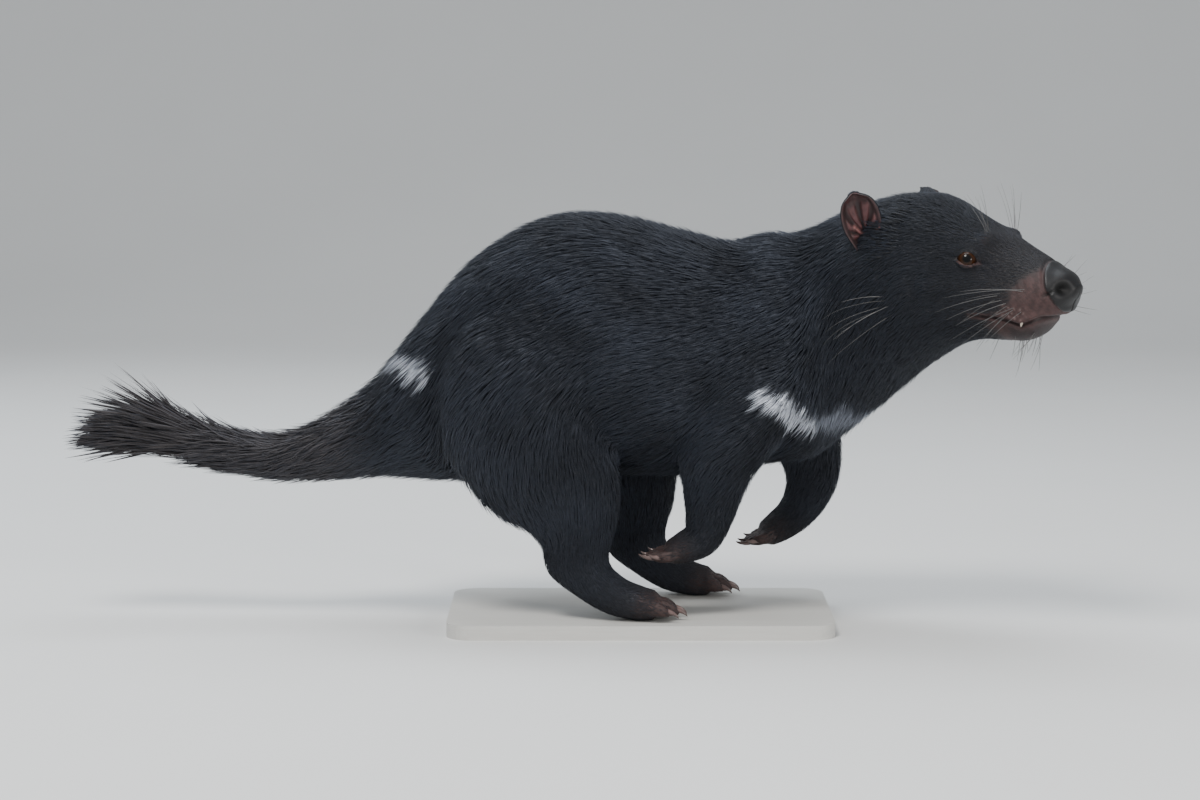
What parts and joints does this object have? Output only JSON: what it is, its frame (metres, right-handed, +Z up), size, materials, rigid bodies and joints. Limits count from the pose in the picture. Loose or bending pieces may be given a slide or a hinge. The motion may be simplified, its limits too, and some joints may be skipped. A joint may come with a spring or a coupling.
{
  "type": "tasmanian devil museum model",
  "caption": "Life-size still model of a Tasmanian devil at the run, hind feet on a flat display base and forefeet lifted, head turned to its right.",
  "frame": {"origin": "centre of the underside of the display base", "axes": "+X the way the body faces, +Y the animal's left, +Z up"},
  "size_m": [0.8267, 0.235, 0.3662],
  "materials": {
    "coat": "dense black fur with a cool sheen",
    "bare_skin": "dusky pink to brown bare skin",
    "nose_skin": "moist black pebbled skin",
    "eye": "wet brown eye",
    "claw": "horn, dusky brown to pale tips",
    "stand": "satin painted board"
  },
  "bodies": {
    "root": {"rump": "coat", "torso": "coat", "shoulders": "coat", "neck": "coat", "tail_base": "coat", "tail_middle": "coat", "tail_tip": "coat", "head": "coat", "thigh_right": "coat", "thigh_left": "coat", "shank_right": "coat", "shank_left": "coat", "upper_arm_right": "coat", "upper_arm_left": "coat", "forearm_right": "coat", "forearm_left": "coat", "lower_jaw": "bare_skin", "ear_right": "bare_skin", "ear_left": "bare_skin", "hind_foot_right": "bare_skin", "hind_foot_left": "bare_skin", "forefoot_right": "bare_skin", "forefoot_left": "bare_skin", "nose": "nose_skin", "eye_right": "eye", "eye_left": "eye", "stand_base": "stand"}
  },
  "joints": []
}
